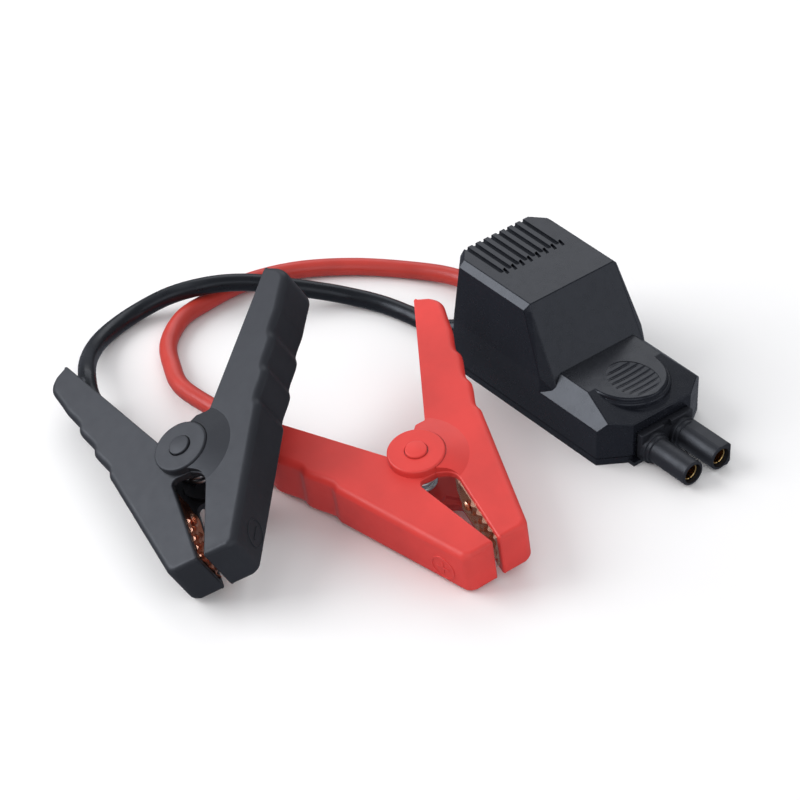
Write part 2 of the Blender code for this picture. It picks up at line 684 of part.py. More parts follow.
def clamp(colour_name, matrix, mats):
    """One complete clamp, on an empty whose origin is the pivot."""
    pivot = bpy.data.objects.new(f"{colour_name}_clamp_pivot", None)
    bpy.context.scene.collection.objects.link(pivot)
    pivot.matrix_world = matrix
    pivot.location = matrix.translation * MM
    bpy.context.view_layer.update()
    plastic = mats[colour_name]
    copper = mats["copper"]
    for letter, sign in (("a", -1), ("b", 1)):
        handle(f"{colour_name}_handle_{letter}", sign, plastic, pivot)
        jaw_plate(f"{colour_name}_jaw_plate_{letter}", sign, copper, pivot)
        rivet(f"{colour_name}_plate_rivet_{letter}", sign, copper, pivot)
    cylinder(f"{colour_name}_pivot_pin", PIN_R, -9.4, 9.4, 16, mat=mats["steel"], parent=pivot)
    pin_cap(f"{colour_name}_pin_cap_top", 1, plastic, pivot)
    pin_cap(f"{colour_name}_pin_cap_bottom", -1, plastic, pivot)
    torsion_spring(f"{colour_name}_torsion_spring", mats["steel"], pivot)
    axis_spot = (0.0, -13.6, 0.0)
    bore = CORE_R + FIT_GAP
    tube = [(bore, 5.0), (2.6, 5.0), (2.6, 12.5), (bore, 12.5)]
    turned(f"{colour_name}_crimp_ferrule", tube, 16, axis_spot, "X", copper, pivot, hollow=True)
    cylinder(f"{colour_name}_clamp_core", CORE_R, 2.6, 14.0, 10, axis_spot, "X", copper, pivot)


# ---------------------------------------------------------------- leads

def lead_path(colour_name, matrix):
    """Centre line of a lead, from inside the module over the floor to its clamp."""
    rest = LEAD_R + 0.1
    if colour_name == "red":
        run = [(-31.0, LEAD_EXIT_Y, LEAD_EXIT_Z), (-38.0, LEAD_EXIT_Y, LEAD_EXIT_Z),
               (-44.0, LEAD_EXIT_Y, 5.5), (-55.0, 9.8, 4.8), (-68.3, 6.1, 3.9), (-79.7, -0.6, rest),
               (-93.8, -14.0, rest), (-104.8, -30.4, rest), (-109.8, -47.4, rest),
               (-109.5, -62.7, rest), (-107.7, -74.0, rest), (-99.6, -86.1, rest), (-88.4, -93.3, 3.6),
               (-77.0, -98.5, 5.2)]
    else:
        run = [(-31.0, -LEAD_EXIT_Y, LEAD_EXIT_Z), (-38.0, -LEAD_EXIT_Y, LEAD_EXIT_Z),
               (-42.6, -11.8, 5.4), (-47.0, -13.9, 4.1), (-53.5, -15.6, 3.2), (-61.4, -17.0, rest),
               (-71.8, -20.2, rest), (-82.7, -27.3, 4.0), (-92.7, -40.1, 7.6),
               (-102.7, -51.7, CROSSING_Z), (-109.3, -61.8, CROSSING_Z), (-116.3, -72.4, 6.5),
               (-119.4, -84.6, 3.2), (-116.2, -98.5, 3.4), (-109.3, -109.4, 5.6)]
    inside = [(-57.0, -33.4, 0.0), (-47.0, -32.6, 0.0), (-33.0, -26.0, 0.0), (-16.0, -17.4, 0.0),
              (-6.0, -14.2, 0.0), (2.0, -13.6, 0.0)]
    return [Vector(p) for p in run] + [matrix @ Vector(p) for p in inside]


def lead(colour_name, matrix, sign, mats):
    path = spline(lead_path(colour_name, matrix), 3)
    sweep(f"{colour_name}_lead", path, circle(LEAD_R, LEAD_SIDES), mats[f"lead_{colour_name}"])
    spot = (0.0, sign * LEAD_EXIT_Y, LEAD_EXIT_Z)
    cylinder(f"{colour_name}_module_core", CORE_R, -30.6, -25.3, 10, spot, "X", mats["copper"])


def build():
    clear_scene()
    mats = {
        "housing": material("housing_plastic", HOUSING_BLACK, 0.32, 0.0),
        "plug": material("plug_nylon", BLACK, 0.5, 0.0),
        "black": material("black_plastic", BLACK, 0.45, 0.0),
        "red": material("red_plastic", RED, 0.4, 0.0),
        "lead_red": material("red_cable_jacket", LEAD_RED, 0.45, 0.0),
        "lead_black": material("black_cable_jacket", BLACK, 0.45, 0.0),
        "rubber": material("grommet_rubber", BLACK, 0.7, 0.0),
        "copper": material("copper", COPPER, 0.3, 1.0),
        "brass": material("brass", BRASS, 0.25, 1.0),
        "steel": material("spring_steel", STEEL, 0.35, 1.0),
        "green": material("board_laminate", GREEN, 0.4, 0.0),
    }
    housing_upper(mats["housing"])
    housing_lower(mats["housing"])
    housing_screws(mats["steel"])
    plug(mats["plug"], mats["brass"])
    board(mats)
    layout = (("red", RED_PIVOT, RED_TURN, 1), ("black", BLACK_PIVOT, BLACK_TURN, -1))
    for colour_name, pivot, turn, sign in layout:
        strain_relief(f"{colour_name}_grommet", sign, mats["rubber"])
        matrix = clamp_frame(pivot, turn)
        clamp(colour_name, matrix, mats)
        lead(colour_name, matrix, sign, mats)


build()
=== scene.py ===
"""Looks of the jump starter's clamp lead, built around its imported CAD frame.

Lengths are in millimetres, and MM turns them into metres; the camera and the lights are in metres.
The module and the plug are in the part's frame: +X to the plug, +Z up. A clamp is in its own frame:
origin on the pivot, +X to the jaw tips, +Z along the pivot, the half with the lead (A) on the -Y side
and the free half (B) on the +Y side.
"""
import json
import math

import bmesh
import bpy
from mathutils import Matrix, Vector


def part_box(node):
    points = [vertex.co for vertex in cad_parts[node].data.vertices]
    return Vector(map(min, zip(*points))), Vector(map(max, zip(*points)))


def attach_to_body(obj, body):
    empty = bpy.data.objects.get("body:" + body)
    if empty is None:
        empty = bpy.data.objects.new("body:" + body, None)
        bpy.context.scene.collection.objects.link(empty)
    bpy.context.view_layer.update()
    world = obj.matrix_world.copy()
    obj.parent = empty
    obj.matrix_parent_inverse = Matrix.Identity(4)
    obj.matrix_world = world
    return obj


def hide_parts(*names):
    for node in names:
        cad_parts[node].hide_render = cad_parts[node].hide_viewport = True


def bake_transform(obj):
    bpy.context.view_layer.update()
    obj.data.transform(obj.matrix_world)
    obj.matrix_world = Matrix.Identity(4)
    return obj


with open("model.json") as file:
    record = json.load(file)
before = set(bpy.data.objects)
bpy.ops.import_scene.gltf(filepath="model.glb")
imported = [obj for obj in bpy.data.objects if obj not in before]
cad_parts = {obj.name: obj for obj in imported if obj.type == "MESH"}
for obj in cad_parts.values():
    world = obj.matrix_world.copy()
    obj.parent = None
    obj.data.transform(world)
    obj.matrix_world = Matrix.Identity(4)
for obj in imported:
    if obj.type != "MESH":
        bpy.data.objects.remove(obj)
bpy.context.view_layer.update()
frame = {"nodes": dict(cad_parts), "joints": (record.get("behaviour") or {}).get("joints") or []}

MM = 0.001

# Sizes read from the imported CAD
shell_low, shell_high = [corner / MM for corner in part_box("upper_housing")]
cover_low, cover_high = [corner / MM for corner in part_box("base_cover")]
plug_low, plug_high = [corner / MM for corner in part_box("plug_body")]

# Module housing
REAR_X = shell_low.x
FRONT_X = shell_high.x
BASE_HALF = shell_high.y
FLOOR_Z = shell_low.z - 0.25      # leaves only a hair of a seam above the base cover
ROOF_Z = shell_high.z
WALL = 2.0
CORNER = 4.6             # cut of the rear vertical corners
ROOF_HALF = 17.6
ROOF_END_X = -3.3
SHOULDER_DROP = 2.0
SHOULDER_Z = ROOF_Z - SHOULDER_DROP
SHOULDER_HALF = 19.7
SIDE_TOP_Z = 18.3        # the tall block's sides lean in above this height
SIDE_END_X = 6.2
FRONT_HALF = 18.6
DECK_Z = 19.0            # top of the low section
DECK_HALF = 15.5
NOSE_START_X = 21.5
NOSE_Z = 14.7
NOSE_HALF = 12.2
DECK_BEVEL_Z = 13.0
CORNER_X = 32.8          # the low section's front corners are cut off from here
FRONT_SLOPE = 0.5789     # run per rise of the tall block's front
HOUSING_EDGE = 0.3       # rounding of the housing's edges
GROOVE_COUNT = 8
GROOVE_PITCH = 3.35
GROOVE_WIDTH = 1.6
GROOVE_DEPTH = 1.1
GROOVE_END_X = REAR_X + 17.6
TONGUE_HALF = 13.2
TONGUE_REACH = 14.2
DISH_X = 25.6
DISH_HALF_X = 9.7
DISH_HALF_Y = 7.6
DISH_RIB_PITCH = 2.3
LEAD_EXIT_Y = 11.5
LEAD_EXIT_Z = 5.6

# Plug
BARREL_Y = 6.0
BARREL_Z = 4.7
BARREL_R = 4.2
SOCKET_R = 3.0

# Leads
LEAD_R = 2.9
LEAD_REST_Z = LEAD_R + 0.1
CROSSING_Z = 9.5

# Clamps
HALF_T = 8.4             # half thickness of a clamp
CHEEK = 2.0              # wall on either side of a half's pocket
OUTER_ROUND = 2.3        # rounding of the outer edges, jaw end and inner edges
END_ROUND = 1.0
INNER_ROUND = 0.35
DISC_R = 9.0             # outer ears, on half A
DISC_TOP = 11.1
DISC_LOW = 6.95
BOSS_R = 8.6             # inner ears, on half B
BOSS_TOP = 6.65
BOSS_LOW = 5.0
FLARE_R = 16.0           # raised cone of half B round the disc
FLARE_TOP = 10.4
CAP_R = 3.45
CAP_TOP = 11.9
PIN_R = 2.0
CREST_X = -4.1           # first crest of the finger grips
CREST_Y = 26.5
CREST_PITCH = 11.7
JAW_BACK = Vector((-3.1, 26.16))        # straight outer wall of the jaw: its rear and front end
JAW_CORNER = Vector((43.4, 11.3))
CREST_DEPTH = 1.05
DIP_SHARE = 0.32         # where a dip is deepest, as a share of the way to the next crest
GRIP_SLOPE = 0.35
GRIP_LENGTH = 38.0
PLATE_T = 1.2
PLATE_HALF_Z = 6.0
PLATE_START_X = 15.0
PLATE_END_X = 40.4
PLATE_START_Y = 6.2      # back of a plate from the middle plane, and how it closes towards the tip
PLATE_SLOPE = 0.13
TOOTH_START_X = 23.3
TOOTH_PITCH = 3.75
TOOTH_RISE = 1.1
RIVET_X = 20.0
SPRING_R = 4.6
SPRING_WIRE_R = 0.65
FERRULE_Y = -13.6        # the lead's end and its crimp ferrule, inside half A
ENTRY = (-56.0, -33.4)   # where the lead comes into the tail of half A, on its flex joint
MARK_R = 4.6             # polarity mark: ring radius, and place on the jaw's outer wall
MARK_X = 34.0
MARK_Z = -1.8

MODULE = Matrix.Scale(MM, 4)     # the module's frame is the part's own


# ---------------------------------------------------------------- mesh helpers

def new_object(name, bm):
    """Object from a closed bmesh, with its faces pointing out."""
    bmesh.ops.recalc_face_normals(bm, faces=bm.faces[:])
    if bm.calc_volume(signed=True) < 0:
        bmesh.ops.reverse_faces(bm, faces=bm.faces[:])
    mesh = bpy.data.meshes.new(name)
    bm.to_mesh(mesh)
    bm.free()
    obj = bpy.data.objects.new(name, mesh)
    bpy.context.scene.collection.objects.link(obj)
    return obj


def skin(name, rings, closed=False):
    """Solid through rings of points; the end rings are capped unless the stack closes on itself."""
    bm = bmesh.new()
    loops = [[bm.verts.new(point) for point in ring] for ring in rings]
    pairs = list(zip(loops, loops[1:]))
    if closed:
        pairs.append((loops[-1], loops[0]))
    count = len(loops[0])
    for low, high in pairs:
        for i in range(count):
            j = (i + 1) % count
            bm.faces.new((low[i], low[j], high[j], high[i]))
    if not closed:
        bm.faces.new(loops[0][::-1])
        bm.faces.new(loops[-1])
    return new_object(name, bm)


def hull(name, points, edge=0.0):
    """Convex solid round a set of points, with rounded edges."""
    bm = bmesh.new()
    for point in points:
        bm.verts.new(point)
    made = bmesh.ops.convex_hull(bm, input=bm.verts[:])
    spare = {g for g in made["geom_interior"] + made["geom_unused"] if isinstance(g, bmesh.types.BMVert)}
    bmesh.ops.delete(bm, geom=list(spare), context="VERTS")
    bmesh.ops.dissolve_limit(bm, angle_limit=math.radians(0.5), verts=bm.verts[:], edges=bm.edges[:])
    if edge:
        bmesh.ops.bevel(bm, geom=bm.edges[:], offset=edge, segments=3, profile=0.5, affect="EDGES")
    return new_object(name, bm)


def box(name, low, high, edge=0.0):
    corners = [(x, y, z) for x in (low[0], high[0]) for y in (low[1], high[1]) for z in (low[2], high[2])]
    return hull(name, corners, edge)


def rounded(corners, closed=True, step=9.0):
    """Points along an outline whose corners are (x, y, radius)."""
    points = []
    count = len(corners)
    for i, (x, y, radius) in enumerate(corners):
        here = Vector((x, y))
        if not radius or (not closed and i in (0, count - 1)):
            points.append(here)
            continue
        before = (Vector(corners[i - 1][:2]) - here).normalized()
        after = (Vector(corners[(i + 1) % count][:2]) - here).normalized()
        half = before.angle(after) / 2
        centre = here + (before + after).normalized() * (radius / math.sin(half))
        spoke = here + before * (radius / math.tan(half)) - centre
        turn = math.pi - 2 * half
        if before.cross(after) > 0:
            turn = -turn
        steps = max(2, math.ceil(abs(math.degrees(turn)) / step))
        for k in range(steps + 1):
            points.append(centre + Matrix.Rotation(turn * k / steps, 2) @ spoke)
    return points


def turned(name, profile, sides, centre=(0.0, 0.0, 0.0), axis="Z", closed=False):
    """Solid turned from a profile of (radius, distance along the axis)."""
    rings = []
    for radius, along in profile:
        ring = []
        for i in range(sides):
            angle = 2 * math.pi * (i + 0.5) / sides
            u = radius * math.cos(angle)
            v = radius * math.sin(angle)
            local = (u, v, along) if axis == "Z" else (along, u, v)
            ring.append(Vector(local) + Vector(centre))
        rings.append(ring)
    return skin(name, rings, closed)


def rod(name, radius, low, high, sides=32, centre=(0.0, 0.0, 0.0), axis="Z"):
    return turned(name, [(radius, low), (radius, high)], sides, centre, axis)


def slab(name, outline, low, high):
    """Plan outline extruded in Z."""
    return skin(name, [[(x, y, z) for x, y in outline] for z in (low, high)])


def combine(obj, operation, tools):
    """Boolean the tools into obj and remove them."""
    for tool in tools:
        mod = obj.modifiers.new(operation.title(), "BOOLEAN")
        mod.operation = operation
        mod.solver = "EXACT"
        mod.object = tool
    bpy.context.view_layer.update()
    graph = bpy.context.evaluated_depsgraph_get()
    mesh = bpy.data.meshes.new_from_object(obj.evaluated_get(graph))
    obj.modifiers.clear()
    obj.data = mesh
    for tool in tools:
        bpy.data.objects.remove(tool, do_unlink=True)
    return obj


def cut(obj, *tools):
    return combine(obj, "DIFFERENCE", tools)


def join(obj, *tools):
    return combine(obj, "UNION", tools)


def trim(obj, *tools):
    return combine(obj, "INTERSECT", tools)


def attach(obj, *others):
    """Put other meshes into obj without a boolean."""
    bm = bmesh.new()
    for source in (obj, *others):
        bm.from_mesh(source.data)
    bm.to_mesh(obj.data)
    bm.free()
    for other in others:
        bpy.data.objects.remove(other, do_unlink=True)
    return obj


def spline(points, per_span):
    """Centripetal Catmull-Rom curve through the points."""
    pts = [Vector(p) for p in points]
    pts = [pts[0] * 2 - pts[1]] + pts + [pts[-1] * 2 - pts[-2]]
    curve = []
    for p0, p1, p2, p3 in zip(pts, pts[1:], pts[2:], pts[3:]):
        t1 = (p1 - p0).length ** 0.5
        t2 = t1 + (p2 - p1).length ** 0.5
        t3 = t2 + (p3 - p2).length ** 0.5
        for step in range(per_span):
            t = t1 + (t2 - t1) * step / per_span
            a1 = p0.lerp(p1, t / t1)
            a2 = p1.lerp(p2, (t - t1) / (t2 - t1))
            a3 = p2.lerp(p3, (t - t2) / (t3 - t2))
            b1 = a1.lerp(a2, t / t2)
            b2 = a2.lerp(a3, (t - t1) / (t3 - t1))
            curve.append(b1.lerp(b2, (t - t1) / (t2 - t1)))
    curve.append(pts[-2])
    return curve


def tube_rings(path, section):
    """Rings of a section of (side, up) points carried along a path without twist."""
    rings = []
    up = Vector((0.0, 0.0, 1.0))
    for i, point in enumerate(path):
        ahead = path[min(i + 1, len(path) - 1)]
        behind = path[max(i - 1, 0)]
        direction = (ahead - behind).normalized()
        up = (up - direction * up.dot(direction)).normalized()
        side = direction.cross(up)
        rings.append([point + side * s + up * u for s, u in section])
    return rings


def circle(radius, sides):
    return [(radius * math.cos(2 * math.pi * i / sides), radius * math.sin(2 * math.pi * i / sides))
            for i in range(sides)]


def place(obj, matrix, body, material, slot, *nodes, smooth=35):
    """Bring a piece built in millimetres to its place, finish it, hand it to its body and hide the CAD nodes
    it stands for.
    """
    obj.data.transform(matrix)
    obj.data.materials.clear()
    obj.data.materials.append(material)
    obj.data.shade_smooth()
    obj.data.set_sharp_from_angle(angle=math.radians(smooth))
    obj.modifiers.new("WeightedNormal", "WEIGHTED_NORMAL").keep_sharp = True
    if body:
        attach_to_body(obj, body)
    if nodes:
        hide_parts(*nodes)
    return obj


# ---------------------------------------------------------------- materials

class Nodes:
    """Short way to build a node material."""

    def __init__(self, name):
        self.material = bpy.data.materials.new(name)
        self.material.use_nodes = True
        self.tree = self.material.node_tree
        self.shader = self.tree.nodes["Principled BSDF"]
        self.place = self.add("ShaderNodeTexCoord").outputs["Object"]

    def add(self, kind, **values):
        """Node of a kind; values are its properties, or its inputs by name."""
        node = self.tree.nodes.new(kind)
        for key, value in values.items():
            label = key.replace("_", " ")
            if label in node.inputs:
                self.wire(value, node.inputs[label])
            else:
                setattr(node, key, value)
        return node

    def wire(self, value, socket):
        if isinstance(value, bpy.types.NodeSocket):
            self.tree.links.new(value, socket)
        else:
            socket.default_value = value

    def noise(self, size, detail=3.0, stretch=(1.0, 1.0, 1.0)):
        """Noise with features of about the given size in millimetres."""
        place = self.add("ShaderNodeMapping", Vector=self.place, Scale=stretch).outputs["Vector"]
        node = self.add("ShaderNodeTexNoise", Vector=place, Scale=1 / (size * MM), Detail=detail)
        return node.outputs["Fac"]

    def spread(self, value, low, high):
        """Map the middle part of a noise to low..high."""
        node = self.add("ShaderNodeMapRange", Value=value, From_Min=0.3, From_Max=0.7,
                        To_Min=low, To_Max=high)
        return node.outputs["Result"]

    def tint(self, factor, dark, light):
        """Colour between dark and light by a factor."""
        ramp = self.add("ShaderNodeValToRGB", Fac=factor)
        ramp.color_ramp.elements[0].position = 0.3
        ramp.color_ramp.elements[1].position = 0.7
        ramp.color_ramp.elements[0].color = (*dark, 1.0)
        ramp.color_ramp.elements[1].color = (*light, 1.0)
        return ramp.outputs["Color"]

    def bump(self, height, depth, before=None):
        """Bump of a height signal, depth in millimetres."""
        node = self.add("ShaderNodeBump", Height=height, Distance=depth * MM)
        if before:
            self.wire(before, node.inputs["Normal"])
        return node.outputs["Normal"]

    def set(self, **values):
        for key, value in values.items():
            self.wire(value, self.shader.inputs[key.replace("_", " ")])
        return self.material


def shaded(colour, factor):
    return tuple(channel * factor for channel in colour)


def moulded(name, colour, roughness, grain=0.35, grain_depth=0.012, specular=0.5, tint=(0.82, 0.88, 1.0)):
    """Injection-moulded plastic: eroded-mould grain, soft flow mottling and uneven gloss."""
    n = Nodes(name)
    flow = n.noise(22.0, 4.0)
    fine = n.noise(grain, 4.0)
    sink = n.noise(9.0, 1.0)
    normal = n.bump(sink, 0.05, n.bump(fine, grain_depth))
    return n.set(Base_Color=n.tint(flow, shaded(colour, 0.88), shaded(colour, 1.1)),
                 Roughness=n.spread(n.noise(3.0, 5.0), roughness - 0.04, roughness + 0.05),
                 Specular_IOR_Level=specular, Specular_Tint=(*tint, 1.0), Normal=normal)


def jacket(name, colour, roughness):
    """Soft extruded cable jacket: faint lengthwise drag and dust-fine grain."""
    n = Nodes(name)
    normal = n.bump(n.noise(6.0, 2.0), 0.08, n.bump(n.noise(0.5, 5.0), 0.012))
    return n.set(Base_Color=n.tint(n.noise(14.0, 3.0), shaded(colour, 0.9), shaded(colour, 1.1)),
                 Roughness=n.spread(n.noise(4.0, 4.0), roughness - 0.05, roughness + 0.06),
                 Specular_Tint=(0.82, 0.88, 1.0, 1.0), Normal=normal)


def metal(name, colour, roughness, tarnish=0.75, stretch=(1.0, 1.0, 6.0)):
    """Bare metal with drawn scratches and a patchy tarnish."""
    n = Nodes(name)
    scratches = n.noise(0.35, 3.0, stretch)
    patches = n.noise(3.5, 5.0)
    return n.set(Base_Color=n.tint(patches, shaded(colour, tarnish), colour), Metallic=1.0,
                 Roughness=n.spread(scratches, roughness - 0.06, roughness + 0.1),
                 Specular_Tint=(*shaded(colour, 0.85), 1.0), Normal=n.bump(scratches, 0.02))


def laminate(name, colour):
    """Circuit board: solder mask over faint copper areas."""
    n = Nodes(name)
    cells = n.add("ShaderNodeTexVoronoi", Vector=n.place, Scale=1 / (5.0 * MM))
    cells.feature = "DISTANCE_TO_EDGE"
    tracks = cells.outputs["Distance"]
    return n.set(Base_Color=n.tint(tracks, shaded(colour, 0.6), shaded(colour, 1.5)), Roughness=0.35,
                 Normal=n.bump(n.noise(0.6, 3.0), 0.01))


PAINTS = {
    "housing": moulded("housing_plastic", (0.008, 0.009, 0.013), 0.25, grain_depth=0.003),
    "plug": moulded("plug_nylon", (0.014, 0.015, 0.019), 0.42, 0.5, 0.012),
    "black": moulded("black_plastic", (0.018, 0.019, 0.023), 0.46, 0.3, 0.006),
    "red": moulded("red_plastic", (0.68, 0.043, 0.036), 0.42, 0.3, 0.006, tint=(1.0, 1.0, 1.0)),
    "lead_red": jacket("red_jacket", (0.50, 0.045, 0.032), 0.34),
    "lead_black": jacket("black_jacket", (0.007, 0.008, 0.010), 0.3),
    "rubber": moulded("grommet_rubber", (0.02, 0.02, 0.022), 0.65, 0.6, 0.03, specular=0.3),
    "copper": metal("pressed_copper", (0.95, 0.52, 0.38), 0.25),
    "brass": metal("gold_plated_brass", (0.95, 0.66, 0.28), 0.2, 0.85),
    "steel": metal("spring_steel", (0.62, 0.63, 0.65), 0.3, 0.85),
    "board": laminate("board_laminate", (0.02, 0.16, 0.07)),
    "component": moulded("component_case", (0.02, 0.02, 0.022), 0.5, 0.4, 0.02),
}


# ---------------------------------------------------------------- control module

def both(points):
    """Points and their mirror images across the module's middle plane."""
    return [(x, sign * y, z) for x, y, z in points for sign in (1, -1)]


def nose_height(x):
    return DECK_Z - (x - NOSE_START_X) * (DECK_Z - NOSE_Z) / (FRONT_X - NOSE_START_X)


def tall_block(inset, floor, edge=0.0):
    """Tall rear block of the housing; with an inset, its cavity."""
    roof = ROOF_Z - inset
    roof_half = ROOF_HALF - inset * 0.4
    shoulder = SHOULDER_Z - inset * 0.4
    front = ROOF_END_X - inset * 1.16
    foot = front + FRONT_SLOPE * (ROOF_Z - DECK_BEVEL_Z)
    side_end = SIDE_END_X - inset * 1.16
    side = BASE_HALF - inset
    rear = REAR_X + inset
    corner = REAR_X + CORNER
    points = [(rear, roof_half - CORNER + 0.4, roof), (corner, roof_half, roof), (front, roof_half, roof),
              (rear, SHOULDER_HALF - CORNER - inset * 0.4, shoulder),
              (corner, SHOULDER_HALF - inset, shoulder),
              (front - 0.8, SHOULDER_HALF - inset, shoulder),
              (front + FRONT_SLOPE * SHOULDER_DROP, ROOF_HALF + 0.5 - inset, shoulder),
              (rear, side - CORNER + inset * 0.6, SIDE_TOP_Z), (corner, side, SIDE_TOP_Z),
              (side_end, side, SIDE_TOP_Z), (foot, FRONT_HALF - inset, DECK_BEVEL_Z),
              (rear, side - CORNER + inset * 0.6, floor), (corner, side, floor), (side_end, side, floor),
              (foot, FRONT_HALF - inset, floor)]
    return hull("module_shell", both(points), edge)


def low_block(inset, floor, edge=0.0):
    """Low front section with side bevels, sloping nose and cut corners."""
    start = -12.0
    corner_x = 34.67
    corner_z = nose_height(corner_x)
    bevel = (BASE_HALF - DECK_HALF) / (DECK_Z - DECK_BEVEL_Z)
    side = BASE_HALF - inset
    bevel_z = DECK_BEVEL_Z - inset * 0.5
    top_half = DECK_HALF - inset * 0.4
    nose = NOSE_HALF - inset * 0.4
    points = [(start, side, floor), (start, side, bevel_z), (start, top_half, DECK_Z - inset),
              (NOSE_START_X, top_half, DECK_Z - inset),
              (corner_x - inset, DECK_HALF + bevel * (DECK_Z - corner_z) - inset * 0.8, corner_z - inset),
              (CORNER_X - inset * 0.4, side, bevel_z), (CORNER_X - inset * 0.4, side, floor),
              (FRONT_X - inset, nose, floor), (FRONT_X - inset, nose, NOSE_Z - inset)]
    return hull("low_block", both(points), edge)


def tongue():
    """Raised thumb rest on the sloping nose, with a double rounded step round it."""
    top = DECK_Z - 0.01      # a hair below the deck, so that the two surfaces never coincide
    radius = 0.8
    profile = [(-0.9, top)]
    for drop, reach, depth in ((0.0, 0.0, 1.1), (1.25, 1.05, 1.9)):
        for k in range(5):
            angle = math.radians(90 - 22.5 * k)
            profile.append((reach + radius * (math.cos(angle) - 1),
                            top - drop + radius * (math.sin(angle) - 1)))
        profile.append((reach + 0.08, DECK_Z - drop - depth))
    profile.append((3.4, NOSE_Z - 0.4))
    profile.append((3.6, NOSE_Z - 2.5))
    rings = []
    for reach, z in profile[::-1]:
        ring = []
        for k in range(49):
            angle = math.radians(-90 + 180 * k / 48)
            ring.append((NOSE_START_X + (TONGUE_REACH + reach) * math.cos(angle),
                         (TONGUE_HALF + reach) * math.sin(angle), z))
        ring.append((NOSE_START_X - 6.0, TONGUE_HALF + reach, z))
        ring.append((NOSE_START_X - 6.0, -TONGUE_HALF - reach, z))
        rings.append(ring)
    return skin("tongue", rings)


def dish():
    """Cutter for the oval thumb dish: a shallow bowl with narrow cross grooves between flat ribs."""
    rings = []
    slices = 150
    for i in range(slices + 1):
        along = -0.998 + 1.996 * i / slices
        half = DISH_HALF_Y * math.sqrt(1 - along * along)
        x = DISH_X + DISH_HALF_X * along
        groove = (0.5 + 0.5 * math.cos(2 * math.pi * (x - DISH_X) / DISH_RIB_PITCH)) ** 4
        ring = []
        for j in range(13):
            across = -1 + j / 6
            bowl = 1 - along * along - (1 - along * along) * across * across
            ring.append((x, half * across, DECK_Z - 0.15 - 0.4 * bowl - 0.2 * groove * min(1.0, bowl * 3)))
        ring.append((x, half, DECK_Z + 1.0))
        ring.append((x, -half, DECK_Z + 1.0))
        rings.append(ring)
    return skin("dish", rings)


def groove_cutters():
    """Cooling grooves that run out through the rear edge, each with a short side notch at its end."""
    tools = []
    for i in range(GROOVE_COUNT):
        y = (i - (GROOVE_COUNT - 1) / 2) * GROOVE_PITCH - 1.2
        far = y + GROOVE_WIDTH / 2
        near = y - GROOVE_WIDTH / 2
        low = ROOF_Z - GROOVE_DEPTH
        plan = rounded([(REAR_X - 2.0, near, 0), (GROOVE_END_X, near, 0.7), (GROOVE_END_X, far, 0.7),
                        (REAR_X - 2.0, far, 0)])
        tools.append(slab("groove", plan, low, ROOF_Z + 1.0))
        notch = [(GROOVE_END_X - 1.6, far + 1.4), (GROOVE_END_X - 1.3, far + 0.3),
                 (GROOVE_END_X + 1.6, far - 0.5), (GROOVE_END_X + 1.5, far + 0.75)]
        tools.append(slab("notch", notch, low + 0.3, ROOF_Z + 1.0))
    return tools


def module_shell():
    shell = tall_block(0.0, FLOOR_Z, HOUSING_EDGE)
    join(shell, low_block(0.0, FLOOR_Z, HOUSING_EDGE), tongue())
    cut(shell, tall_block(WALL + 0.2, FLOOR_Z - 1.0), low_block(WALL, FLOOR_Z - 1.0))
    tools = groove_cutters()
    tools.append(dish())
    tools.append(box("plug_opening", (33.0, -10.7, 0.0), (FRONT_X + 1.0, 10.7, 11.0)))
    for sign in (1, -1):
        spot = (0.0, sign * LEAD_EXIT_Y, LEAD_EXIT_Z)
        tools.append(rod("lead_hole", 4.5, REAR_X - 1.0, REAR_X + 4.0, 32, spot, "X"))
    cut(shell, *tools)
    place(shell, MODULE, "module", PAINTS["housing"], "housing", "upper_housing", smooth=30)


def plug_shell():
    """Two-barrel plug with stepped collars; the far barrel has flat outer sides as a key."""
    body = box("plug_shell", (plug_low.x, -10.4, FLOOR_Z), (39.6, 10.4, 10.7), 0.2)
    parts = [box("flange", (FRONT_X + 0.3, -10.9, 1.8), (41.6, 10.9, plug_high.z), 0.35)]
    floor = box("floor", (39.0, -20.0, -5.0), (48.0, 20.0, 0.35))
    for sign in (-1, 1):
        centre = (0.0, sign * BARREL_Y, BARREL_Z)
        profile = rounded([(5.3, 41.3, 0), (5.3, 43.0, 0.3), (4.75, 43.0, 0.15), (4.75, 44.3, 0.3),
                           (BARREL_R, 44.3, 0.2), (BARREL_R, plug_high.x, 0.45),
                           (SOCKET_R, plug_high.x, 0)], False, 20)
        parts.append(turned("barrel", profile, 72, centre, "X"))
    key = [(BARREL_Y - 0.5, BARREL_Z - 3.6, 0), (BARREL_Y + 3.0, BARREL_Z - 4.2, 0.4),
           (BARREL_Y + 4.2, BARREL_Z - 3.0, 0.4), (BARREL_Y + 4.2, BARREL_Z + 3.2, 0.4),
           (BARREL_Y + 3.2, BARREL_Z + 4.2, 0.4), (BARREL_Y - 0.5, BARREL_Z + 4.2, 0)]
    ends = ((43.5, 0.0), (plug_high.x - 0.3, 0.0), (plug_high.x, 0.25))
    outline = rounded(key)
    rings = [[(x, BARREL_Y + (y - BARREL_Y) * (1 - shrink / 4), BARREL_Z + (z - BARREL_Z) * (1 - shrink / 4))
              for y, z in outline] for x, shrink in ends]
    parts.append(skin("key", rings))
    join(body, *parts)
    tools = [floor, box("keyway", (40.2, -1.6, 9.2), (44.0, 1.6, 12.0))]
    for sign in (-1, 1):
        centre = (0.0, sign * BARREL_Y, BARREL_Z)
        tools.append(rod("bore", SOCKET_R + 0.3, 42.2, 61.0, 64, centre, "X"))
        tools.append(rod("tail_bore", 2.0, 30.0, 43.0, 32, centre, "X"))
    cut(body, *tools)
    place(body, MODULE, "module", PAINTS["plug"], "plug", "plug_body", smooth=30)


